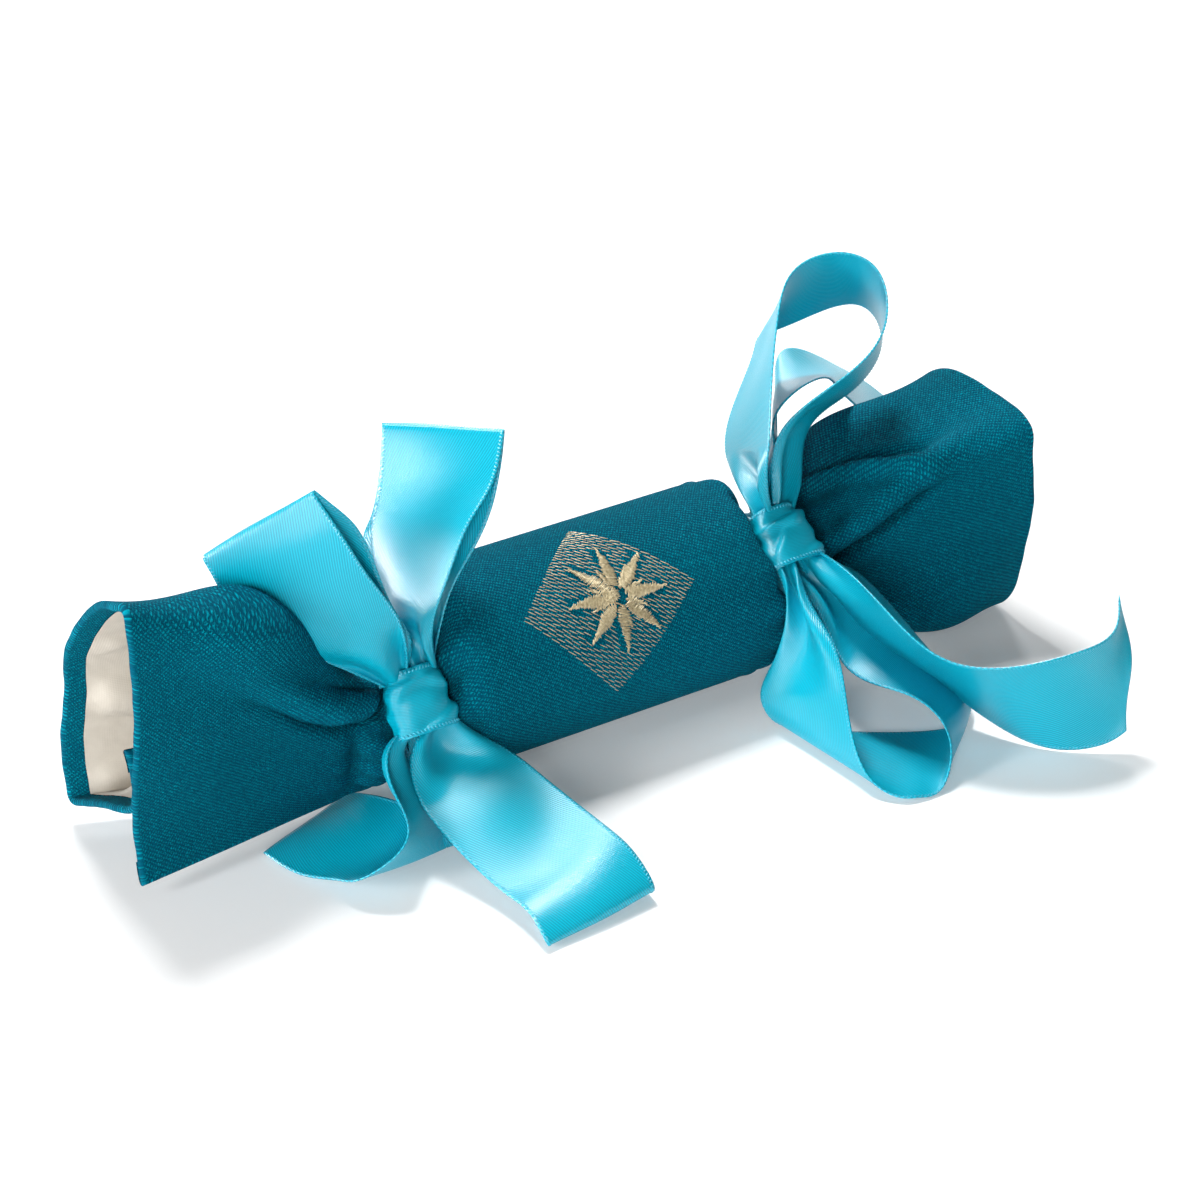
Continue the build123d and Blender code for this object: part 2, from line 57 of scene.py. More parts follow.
back = Vector((sin(VIEW_AZIMUTH) * cos(VIEW_ELEVATION), -cos(VIEW_AZIMUTH) * cos(VIEW_ELEVATION),
               sin(VIEW_ELEVATION)))
right = Vector((cos(VIEW_AZIMUTH), sin(VIEW_AZIMUTH), 0))
up = back.cross(right)
camera_data = bpy.data.cameras.new("camera")
camera_data.sensor_width = 36
camera_data.lens = 96
camera_data.clip_start = 0.01
camera = bpy.data.objects.new("camera", camera_data)
bpy.context.collection.objects.link(camera)
camera.matrix_world = Matrix((right, up, back)).transposed().to_4x4()
camera.location = (Vector(VIEW_CENTRE) + back * VIEW_DISTANCE) * MM
bpy.context.scene.camera = camera


# Card tube. A stiff tube of wound grey-brown card inside the roll of cloth, cut square at both ends.
# Wound card is matte, with soft streaks along the paper and small dark fibres.
def linear(code):
    """A colour as the shader takes it, from an sRGB hex code."""
    values = [int(code[i:i + 2], 16) / 255 for i in (1, 3, 5)]
    return tuple(v / 12.92 if v <= 0.04045 else ((v + 0.055) / 1.055) ** 2.4 for v in values) + (1.0,)


def add(material, kind, inputs=None, **settings):
    """Add one node to a material, set it up, and link or set its inputs."""
    made = material.node_tree.nodes.new(kind)
    for name, value in settings.items():
        setattr(made, name, value)
    for socket, value in (inputs or {}).items():
        if isinstance(value, bpy.types.NodeSocket):
            material.node_tree.links.new(value, made.inputs[socket])
        else:
            made.inputs[socket].default_value = value
    return made


def new_material(name):
    material = bpy.data.materials.new(name)
    material.use_nodes = True
    material.node_tree.nodes.clear()
    return material


def mottled(name, dark, pale, grain, detail, finish, streak=1.0, relief=None):
    """A material of two tones in blotches, grain millimetres wide and streak times as long."""
    material = new_material(name)
    place = add(material, "ShaderNodeTexCoord").outputs["Object"]
    fine = 1 / (grain * MM)
    stretched = add(material, "ShaderNodeMapping", {"Vector": place, "Scale": (fine / streak, fine, fine)})
    blotch = add(material, "ShaderNodeTexNoise", {"Vector": stretched.outputs[0], "Scale": 1.0,
                                                  "Detail": detail})
    tone = add(material, "ShaderNodeMix", {0: blotch.outputs["Fac"], 6: linear(dark), 7: linear(pale)},
               data_type="RGBA")
    shader = add(material, "ShaderNodeBsdfPrincipled", {"Base Color": tone.outputs[2], **finish})
    if relief:
        strength, depth = relief
        bump = add(material, "ShaderNodeBump", {"Height": blotch.outputs["Fac"], "Strength": strength,
                                                "Distance": depth * MM})
        material.node_tree.links.new(bump.outputs[0], shader.inputs["Normal"])
    add(material, "ShaderNodeOutputMaterial", {"Surface": shader.outputs[0]})
    return material


def dress(material, *nodes):
    """Give CAD nodes their finished material."""
    for node in nodes:
        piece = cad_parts[node]
        piece.data.materials.clear()
        piece.data.materials.append(material)


card = mottled("wound_card", "#8d7a62", "#c0ad92", 1.11, 5.0, {"Roughness": 0.85}, streak=15.0,
               relief=(0.3, 0.2))
dress(card, "card_tube")


# Contents. A tissue paper hat folded into a flat packet, a motto slip of white paper on it, and a small die.
# They lie loose on the floor of the tube.
# Tissue paper is dull and crumpled, white paper is dull and even, and moulded plastic has a soft gloss
tissue = mottled("red_tissue", "#8f1620", "#d2323c", 2.86, 6.0, {"Roughness": 0.7}, relief=(0.5, 0.4))
dress(tissue, "paper_hat")
paper = mottled("white_paper", "#dcd8cc", "#f4f1e8", 0.83, 4.0, {"Roughness": 0.8})
dress(paper, "motto_slip")
ivory = mottled("moulded_ivory_plastic", "#e6dfcb", "#f3eede", 5.56, 2.0, {"Roughness": 0.25, "IOR": 1.49})
dress(ivory, "gift_die")


# Snap. Two strips of thin buff card lap inside a paper sleeve, one with a dry charge and one with a rough
# patch that strikes it. The strips run out through the tied necks.
# The card is dull and even, and the dry compound on it is gritty and nearly black
buff = mottled("buff_card", "#b9a784", "#d8c9a8", 1.25, 5.0, {"Roughness": 0.8})
dress(buff, "snap_left_strip", "snap_right_strip")
compound = mottled("dry_compound", "#2d2927", "#6a6058", 0.4, 3.0, {"Roughness": 0.95}, relief=(0.8, 0.2))
dress(compound, "snap_charge", "snap_striker")
dress(paper, "snap_sleeve")


# Lining. Cream calico, sewn to the velour inside its hem and rolled with it, so that it shows in both mouths.
# Thin plain cotton: matte, with a fine weave and creases that run in from the mouth.
# Both layers share one roll, so its turns, ties and mouths come here, -1 for the left and 1 for the right
CLOTH_WIDTH = 172.0
CLOTH_THICKNESS = 1.2
LINING_THICKNESS = 0.4
LAYER_GAP = 0.2
HEM_WIDTH = 4.0
TURN_PITCH = LINING_THICKNESS + CLOTH_THICKNESS + 2 * LAYER_GAP
MIDDLE_OF_CLOTH = LINING_THICKNESS + LAYER_GAP + CLOTH_THICKNESS / 2
ROLL_ANGLE = 470.0
TUBE_RADIUS = 17.0
TUBE_HALF = 33.0
AXIS_PLACE = np.array((0.0, 20.94))
BARREL_EDGE = 300.0
NECK_BORE = 7.19
NECK_X = {-1: 46.0, 1: 43.0}
NECK_PLACE = {-1: np.array((-2.0, 15.5)), 1: np.array((-1.0, 19.0))}
NECK_HALF = 4.7
NECK_STRAIGHT = 9.0
FLARE_POWER = 0.8
REST_HEIGHT = 1.0
END_LENGTH = {-1: 61.0, 1: 54.0}
END_EDGE = {-1: 245.0, 1: 285.0}
MOUTH = {
    -1: [(-10, 31), (-11.5, 20.8), (-2.6, 15.2), (16, 5.8), (19, 5), (19.6, 8), (19.9, 18.5), (16.6, 32.5),
         (14.6, 40), (12.6, 43), (0.5, 56.5), (-2.5, 58.6), (-11, 62.3), (-14.6, 63.3), (-15.8, 60),
         (-15.6, 50), (-15, 38), (-13, 25.3), (-10.5, 12), (-12.5, 4)],
    1: [(-8, 12), (-2, 6), (8, 3), (18, 8), (21, 26), (14, 43), (5, 48.8), (1, 49.4), (-10, 48.8),
        (-18.5, 47.8), (-21, 46.5), (-21.8, 43), (-22.6, 30), (-20.2, 17), (-16, 4.5), (-12.5, 1.6),
        (-3, 1.4)],
}


def smooth_through(points, count):
    """Evenly parted points on a smooth curve through given ones, with any number of values each."""
    points = np.array(points, dtype=float)
    step = np.linalg.norm(np.diff(points, axis=0), axis=1)
    at = np.concatenate(((0,), np.cumsum(step)))
    last = len(points) - 1
    stiff = np.eye(last + 1)
    pull = np.zeros_like(points)
    for k in range(1, last):
        stiff[k, k - 1:k + 2] = step[k - 1], 2 * (step[k - 1] + step[k]), step[k]
        pull[k] = 6 * ((points[k + 1] - points[k]) / step[k] - (points[k] - points[k - 1]) / step[k - 1])
    bend = np.linalg.solve(stiff, pull)
    fine = np.linspace(0, at[-1], 30 * last)
    k = np.clip(np.searchsorted(at, fine) - 1, 0, last - 1)
    after = ((fine - at[k]) / step[k])[:, None]
    before = 1 - after
    line = (before * points[k] + after * points[k + 1]
            + ((before**3 - before) * bend[k] + (after**3 - after) * bend[k + 1]) * step[k][:, None] ** 2 / 6)
    run = np.concatenate(((0,), np.cumsum(np.linalg.norm(np.diff(line, axis=0), axis=1))))
    even = np.linspace(0, run[-1], count)
    return np.stack([np.interp(even, run, line[:, n]) for n in range(line.shape[1])], axis=1)


RIM_STEPS = 400
RIM = {side: smooth_through(MOUTH[side], RIM_STEPS) for side in MOUTH}


def ease(t):
    t = np.clip(t, 0, 1)
    return t * t * (3 - 2 * t)


def cloth_line(x, across):
    """Middle of the velour at x, as y and z, for places across it from inner edge (0) to free edge (1)."""
    side = -1 if x < 0 else 1
    past = abs(x) - NECK_X[side]
    if past < -NECK_HALF:
        reach = NECK_X[side] - NECK_HALF - TUBE_HALF
        turn = np.arcsin(min(max((abs(x) - TUBE_HALF) / reach, 0), 1))
        share = 1 - cos(turn)
        bore = TUBE_RADIUS + (NECK_BORE - TUBE_RADIUS) * share
        centre = AXIS_PLACE + (NECK_PLACE[side] - AXIS_PLACE) * share
        edge = BARREL_EDGE
    else:
        bore = NECK_BORE
        centre = NECK_PLACE[side]
        edge = BARREL_EDGE + (END_EDGE[side] - BARREL_EDGE) * ease((past + NECK_HALF) / (2 * NECK_HALF))
    turned = ROLL_ANGLE * across
    angle = np.radians(edge - ROLL_ANGLE + turned)
    radius = bore + LAYER_GAP + TURN_PITCH * turned / 360 + MIDDLE_OF_CLOTH
    line = np.stack((centre[0] + radius * np.cos(angle), centre[1] + radius * np.sin(angle)), axis=1)
    if past > NECK_STRAIGHT:
        share = ((past - NECK_STRAIGHT) / (END_LENGTH[side] - NECK_STRAIGHT)) ** FLARE_POWER
        even = np.linspace(0, 1, RIM_STEPS)
        mouth = np.stack([np.interp(across, even, RIM[side][:, k]) for k in (0, 1)], axis=1)
        line += (mouth - line) * share
    return line


def facing(surface):
    """Unit directions out of a grid of points, and along its rows and columns."""
    along_rows = np.gradient(surface, axis=0)
    along_columns = np.gradient(surface, axis=1)
    ways = (np.cross(along_rows, along_columns), along_rows, along_columns)
    return [way / np.maximum(np.linalg.norm(way, axis=2, keepdims=True), 1e-9) for way in ways]


PLEATS = 17


def pleats(across, past, side):
    """Height of the small uneven pleats that the tie makes, on the outer turn of the roll only."""
    wave = np.sin(2 * pi * (PLEATS * across + 0.35 * np.sin(2 * pi * 2.3 * across + side)))
    fade = 0.4 * np.exp(-((past - 9.0) / 11.0) ** 2) if past > 0 else np.exp(-((past + 6.0) / 4.0) ** 2)
    return fade * wave * ease((across - 0.2) / 0.12)


# Folds of the open ends: a path of places past the tie and across the cloth, then half the fold's width
# across, its rise in millimetres, and how far past the tie it is highest, with its reach
LEFT_CREASE = [(4, 0.700), (6.5, 0.745), (12.5, 0.805), (19, 0.820), (25.5, 0.808), (30, 0.790), (38, 0.765),
               (61, 0.720)]
RIGHT_RIDGE = [(10, 0.500), (21, 0.569), (28, 0.617), (33, 0.637), (41.5, 0.623), (54, 0.610)]
RIGHT_CREASE = [(8, 0.735), (13, 0.721), (19.5, 0.707), (24, 0.691), (28.5, 0.677), (32.5, 0.667),
                (54, 0.620)]


def beside(path, shift):
    """The same path, moved across the cloth."""
    return [(past, across + shift) for past, across in path]


FOLDS = {
    -1: [(LEFT_CREASE, 0.014, -4.8, 15, 15), (beside(LEFT_CREASE, -0.036), 0.030, 4.2, 17, 16),
         ([(0, 0.742), (61, 0.742)], 0.012, -2.4, 13, 5), ([(0, 0.900), (61, 0.900)], 0.070, -2.2, 15, 2),
         ([(0, 0.900), (61, 0.900)], 0.080, 1.6, 10, 3), ([(0, 0.870), (61, 0.860)], 0.060, -2.0, 33, 14),
         ([(0, 0.660), (61, 0.640)], 0.075, 8.0, 36, 15)],
    1: [(RIGHT_RIDGE, 0.020, 4.2, 26, 14), (beside(RIGHT_RIDGE, -0.038), 0.022, -4.2, 24, 12),
        (RIGHT_CREASE, 0.014, -5.0, 18, 13), (beside(RIGHT_CREASE, -0.032), 0.022, 3.4, 20, 13),
        ([(0, 0.420), (54, 0.420)], 0.075, 8.4, 27, 16), ([(0, 0.860), (54, 0.870)], 0.080, 8.0, 35, 15)],
}


def folds(across, past, side):
    """Height of the folds of an open end."""
    height = np.zeros_like(across)
    for path, half_width, rise, peak, spread in FOLDS[side]:
        middle = np.interp(past, *zip(*path))
        fade = np.exp(-((past - peak) / spread) ** 2)
        height += rise * fade * np.exp(-((across - middle) / half_width) ** 2)
    return height


def knot_dent(x, across):
    """Depth of the dent that the right knot presses into the shoulder beside it."""
    return 7.0 * np.exp(-((x - 37.0) / 3.2) ** 2) * np.exp(-((across - 0.63) / 0.055) ** 2)


def rolled_cloth(xs, across):
    """Grid of points on the middle of the velour, with its pleats and folds, resting on the table."""
    flat = np.stack([np.column_stack((np.full(len(across), x), cloth_line(x, across))) for x in xs])
    out = facing(flat)[0] * -np.sign(xs[-1] - xs[0])
    side = -1 if xs[len(xs) // 2] < 0 else 1
    if abs(xs[len(xs) // 2]) > TUBE_HALF:
        past = np.abs(xs) - NECK_X[side]
        raised = [pleats(across, p, side) + folds(across, p, side) for p in past]
        ragged = 0.06 * np.sin(2 * pi * 23 * across) + 0.3 * np.sin(2 * pi * 5.3 * across + 1)
        flat[..., 0] += ragged * ease((past - END_LENGTH[side] + 12) / 12)[:, None]
    else:
        near = [1 if x > 0 else -1 for x in xs]
        raised = [pleats(across, abs(x) - NECK_X[end], end) - knot_dent(x, across)
                  for x, end in zip(xs, near)]
    grid = flat + out * np.array(raised)[..., None]
    grid[..., 2] = np.maximum(grid[..., 2], REST_HEIGHT)
    return grid


UV_SPAN = 100.0


def sheet_object(name, grid, spread, material):
    """Mesh a grid of points, with a UV map of the cloth's own distances, UV_SPAN millimetres to a unit."""
    rows, columns = grid.shape[:2]
    mesh = bmesh.new()
    layer = mesh.loops.layers.uv.new("cloth")
    bmesh.ops.create_grid(mesh, x_segments=columns - 1, y_segments=rows - 1, size=1.0)
    for corner in mesh.verts:
        column = round((corner.co.x + 1) / 2 * (columns - 1))
        row = round((corner.co.y + 1) / 2 * (rows - 1))
        corner.index = row * columns + column
        corner.co = grid[row, column] * MM
    for face in mesh.faces:
        face.smooth = True
        for loop in face.loops:
            row, column = divmod(loop.vert.index, columns)
            loop[layer].uv = spread[row, column] / UV_SPAN
    data = bpy.data.meshes.new(name)
    mesh.to_mesh(data)
    mesh.free()
    data.materials.append(material)
    piece = bpy.data.objects.new(name, data)
    bpy.context.collection.objects.link(piece)
    return piece


def spots(size):
    """Scale of a noise on the cloth's UV map whose spots are size millimetres wide."""
    return UV_SPAN / size


def bands(pitch):
    """Scale of a wave on the cloth's UV map whose bands are pitch millimetres apart."""
    return UV_SPAN * 2 * pi / (20 * pitch)


# Unbleached calico: a plain weave with slubs, drawn a little coarser than the real threads so that it shows
calico = new_material("cream_calico")
uv = add(calico, "ShaderNodeUVMap", uv_map="cloth").outputs[0]
weave_across = add(calico, "ShaderNodeTexWave", {"Vector": uv, "Scale": bands(0.449)}, bands_direction="X")
weave_along = add(calico, "ShaderNodeTexWave", {"Vector": uv, "Scale": bands(0.449)}, bands_direction="Y")
weave = add(calico, "ShaderNodeMath", {0: weave_across.outputs["Fac"], 1: weave_along.outputs["Fac"]},
            operation="MULTIPLY")
slub = add(calico, "ShaderNodeTexNoise", {"Vector": uv, "Scale": spots(3.85), "Detail": 5.0})
tone = add(calico, "ShaderNodeMix", {0: slub.outputs["Fac"], 6: linear("#aca498"), 7: linear("#cbc4b8")},
           data_type="RGBA")
rough = add(calico, "ShaderNodeBump", {"Height": weave.outputs[0], "Strength": 0.25, "Distance": 0.1 * MM})
calico_shader = add(calico, "ShaderNodeBsdfPrincipled", {
    "Base Color": tone.outputs[2], "Roughness": 0.9, "Sheen Weight": 0.1, "Normal": rough.outputs[0]})
add(calico, "ShaderNodeOutputMaterial", {"Surface": calico_shader.outputs[0]})

LINING_INSET = 0.95
LINING_MARGIN = 0.012
LINING_TUCKS = 34
ACROSS_STEPS = 240


def outward(middle, out):
    """1 where a grid's directions point away from the tube's axis, and -1 where they point at it."""
    return 1 if np.mean((middle[..., 1:] - AXIS_PLACE) * out[..., 1:]) > 0 else -1


def lining(name, xs):
    """Lining between two places along X, creased near a mouth and tucked near a tie."""
    across = np.linspace(LINING_MARGIN, 1 - LINING_MARGIN, ACROSS_STEPS)
    middle = rolled_cloth(xs, across)
    out = facing(middle)[0]
    sign = outward(middle, out)
    past = (np.abs(xs) - NECK_X[-1 if xs[-1] < 0 else 1])[:, None]
    crease = 1.5 * np.sin(across * 57 + 0.08 * past) + 1.0 * np.sin(across * 31 - 0.1 * past)
    crease = crease * ease((past - 26) / 20) * ease((np.abs(xs[-1]) - np.abs(xs)) / 5)[:, None]
    tuck = 0.5 * np.abs(np.sin(pi * LINING_TUCKS * across)) * np.exp(-((past - 8) / 12) ** 2)
    grid = middle - sign * out * (LINING_INSET + np.maximum(crease, 0) + tuck)[..., None]
    spread = np.stack(np.broadcast_arrays(across[None, :] * CLOTH_WIDTH, np.array(xs)[:, None]), axis=2)
    return sheet_object(name, grid[::-sign], spread[::-sign], calico)


HEM_LAP = 0.6
MOUTH_X = {side: NECK_X[side] + END_LENGTH[side] for side in NECK_X}
HEM_X = {side: MOUTH_X[side] - HEM_WIDTH + HEM_LAP for side in NECK_X}
lining_barrel = lining("calico_in_barrel", np.linspace(-NECK_X[-1], NECK_X[1], 93))
lining_left = lining("calico_in_left_end", np.linspace(-NECK_X[-1], -HEM_X[-1], 60))
lining_right = lining("calico_in_right_end", np.linspace(NECK_X[1], HEM_X[1], 53))


# Outer cloth. Deep teal brushed velour on a twill ground, cut as one rectangle, hemmed all round and rolled
# about the tube with its free edge to the front. The ties gather it, and its ends flare into the two mouths.
# Brushed cotton velour has a soft pile in short slanting tufts, no gloss, and a few flecks of lint. The tufts
# are drawn as two crossed sets of rows, coarser than the real ones so that they show
velour = new_material("brushed_teal_velour")
uv = add(velour, "ShaderNodeUVMap", uv_map="cloth").outputs[0]
rows = []
for angle, pitch in ((35, 0.748), (-52, 0.542)):
    turned = add(velour, "ShaderNodeMapping", {"Vector": uv, "Rotation": (0.0, 0.0, radians(angle))})
    wave = add(velour, "ShaderNodeTexWave", {
        "Vector": turned.outputs[0], "Scale": bands(pitch), "Distortion": 5.0, "Detail": 3.0,
        "Detail Scale": 5.0}, bands_direction="X")
    rows.append(wave.outputs["Fac"])
tufts = add(velour, "ShaderNodeMath", {0: rows[0], 1: rows[1]}, operation="MULTIPLY")
nap = add(velour, "ShaderNodeTexNoise", {"Vector": uv, "Scale": spots(0.526), "Detail": 4.0,
                                         "Roughness": 0.7})
drift = add(velour, "ShaderNodeTexNoise", {"Vector": uv, "Scale": spots(11.1), "Detail": 3.0})
deep = add(velour, "ShaderNodeMix", {0: drift.outputs["Fac"], 6: linear("#00657f"), 7: linear("#007893")},
           data_type="RGBA")
brushed = add(velour, "ShaderNodeMath", {0: tufts.outputs[0], 1: nap.outputs["Fac"]}, operation="MULTIPLY")
ribbed = add(velour, "ShaderNodeMix", {0: brushed.outputs[0], 6: linear("#004259"), 7: linear("#00e4ff")},
             data_type="RGBA")
soft = add(velour, "ShaderNodeMix", {0: 0.2, 6: ribbed.outputs[2], 7: deep.outputs[2]}, data_type="RGBA")
lint = add(velour, "ShaderNodeTexVoronoi", {"Vector": uv, "Scale": spots(3.85)}, feature="F1")
speck = add(velour, "ShaderNodeMath", {0: lint.outputs["Distance"], 1: 0.03}, operation="LESS_THAN")
flecked = add(velour, "ShaderNodeMix", {0: speck.outputs[0], 6: soft.outputs[2], 7: linear("#3f8394")},
              data_type="RGBA")
pile = add(velour, "ShaderNodeMath", {0: nap.outputs["Fac"], 1: tufts.outputs[0]}, operation="ADD")
rough = add(velour, "ShaderNodeBump", {"Height": pile.outputs[0], "Strength": 1.0, "Distance": 0.4 * MM})
velour_shader = add(velour, "ShaderNodeBsdfPrincipled", {
    "Base Color": flecked.outputs[2], "Roughness": 0.95, "Specular IOR Level": 0.02, "Sheen Weight": 0.12,
    "Sheen Roughness": 0.4, "Sheen Tint": linear("#2f9ab2"), "Normal": rough.outputs[0]})
add(velour, "ShaderNodeOutputMaterial", {"Surface": velour_shader.outputs[0]})

EDGE_ROUND = 0.8
ROUND_STEPS = 5


def hemmed(count, step, open_start, open_end):
    """Row numbers with the angle turned round an edge: over the hem, round the edge, and along the cloth."""
    turn_in = int(round(HEM_WIDTH / step))
    rounds = [pi * (k + 1) / (ROUND_STEPS + 1) for k in range(ROUND_STEPS)]
    order = [(k, 0.0, 0) for k in range(count)]
    if open_start:
        fold = [(0, angle, -1) for angle in rounds] + [(k, pi, -1) for k in range(turn_in)]
        order = fold[::-1] + order
    if open_end:
        order += [(count - 1, angle, 1) for angle in rounds]
        order += [(count - 1 - k, pi, 1) for k in range(turn_in)]
    return order


def velour_piece(name, xs, mouth):
    """Velour between two places along X, with its hems turned in at the free edges and at a mouth."""
    across = np.linspace(0, 1, ACROSS_STEPS)
    middle = rolled_cloth(xs, across)
    out, along, width = facing(middle)
    sign = outward(middle, out)
    rows = hemmed(len(xs), abs(xs[-1] - xs[0]) / (len(xs) - 1), False, mouth)
    columns = hemmed(ACROSS_STEPS, CLOTH_WIDTH / ACROSS_STEPS, True, True)
    grid = np.zeros((len(rows), len(columns), 3))
    spread = np.zeros((len(rows), len(columns), 2))
    for i, (row, row_angle, _) in enumerate(rows):
        for j, (column, angle, edge) in enumerate(columns):
            lift = min(cos(row_angle), cos(angle))
            grid[i, j] = (middle[row, column] + EDGE_ROUND * lift * sign * out[row, column]
                          + EDGE_ROUND * sin(row_angle) * along[row, column]
                          + EDGE_ROUND * sin(angle) * edge * width[row, column])
            spread[i, j] = (across[column] * CLOTH_WIDTH, xs[row])
    return sheet_object(name, grid[::-sign], spread[::-sign], velour)


velour_barrel = velour_piece("velour_over_tube", np.linspace(-NECK_X[-1], NECK_X[1], 139), False)
velour_left = velour_piece("velour_left_end", np.linspace(-NECK_X[-1], -MOUTH_X[-1], 92), True)
velour_right = velour_piece("velour_right_end", np.linspace(NECK_X[1], MOUTH_X[1], 82), True)

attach(velour_barrel, "barrel")
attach(lining_barrel, "barrel")
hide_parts("wrap_barrel")
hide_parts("lining_barrel")


for side, cloth, inside, name in ((-1, velour_left, lining_left, "left"),
                                  (1, velour_right, lining_right, "right")):
    for piece in (cloth, inside):
        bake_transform(piece)
    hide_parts(f"wrap_{name}_end", f"{name}_neck_gather")
    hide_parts(f"lining_{name}_end")


# Ribbon bows. Single-faced turquoise satin ribbon with overcast edges goes round each neck and is tied in a
# bow: a wrapped knot over the band, two loops and two tails. The knot pleats the ribbon where it grips it.
# Satin weave of polyester: a smooth face of long floats, which shines most across them. The real floats are
# finer than the picture can show, so they are drawn at about half a millimetre
satin = new_material("turquoise_satin_ribbon")
uv = add(satin, "ShaderNodeUVMap", uv_map="cloth").outputs[0]
turned = add(satin, "ShaderNodeMapping", {"Vector": uv, "Rotation": (0.0, 0.0, radians(24))})
floats = add(satin, "ShaderNodeTexWave", {"Vector": turned.outputs[0], "Scale": bands(0.499),
                                          "Distortion": 0.6}, bands_direction="X")
thread = add(satin, "ShaderNodeTexNoise", {"Vector": uv, "Scale": spots(0.2), "Detail": 3.0})
tone = add(satin, "ShaderNodeMix", {0: floats.outputs["Fac"], 6: linear("#008fa9"), 7: linear("#00b8d1")},
           data_type="RGBA")
grain = add(satin, "ShaderNodeMath", {0: floats.outputs["Fac"], 1: thread.outputs["Fac"]}, operation="ADD")
rough = add(satin, "ShaderNodeBump", {"Height": grain.outputs[0], "Strength": 0.45, "Distance": 0.1 * MM})
warp = add(satin, "ShaderNodeTangent", direction_type="UV_MAP", uv_map="cloth")
satin_shader = add(satin, "ShaderNodeBsdfPrincipled", {
    "Base Color": tone.outputs[2], "Roughness": 0.3, "Specular IOR Level": 0.45, "Anisotropic": 0.5,
    "Normal": rough.outputs[0], "Tangent": warp.outputs[0]})
add(satin, "ShaderNodeOutputMaterial", {"Surface": satin_shader.outputs[0]})

# Twisted thread over the ribbon's edges, a little paler and glossier than its face
overcast = mottled("turquoise_overcast_thread", "#0a98b6", "#3cbdd4", 0.417, 2.0,
                   {"Roughness": 0.4, "Specular IOR Level": 0.7})

RIBBON_WIDTH = 25.0
RIBBON_THICKNESS = 0.3
BAND_OUTSIDE = 12.9
BAND_HALF = 4.5
KNOT_SIZE = (12.5, 13.0, 7.0)
KNOT_ANGLE = {-1: 143.0, 1: 127.0}
KNOT_SHIFT = {-1: -2.5, 1: -1.8}
KNOT_GAP = 0.2
GRIP_HALF = 2.5
GRIP_RISE = 4.5
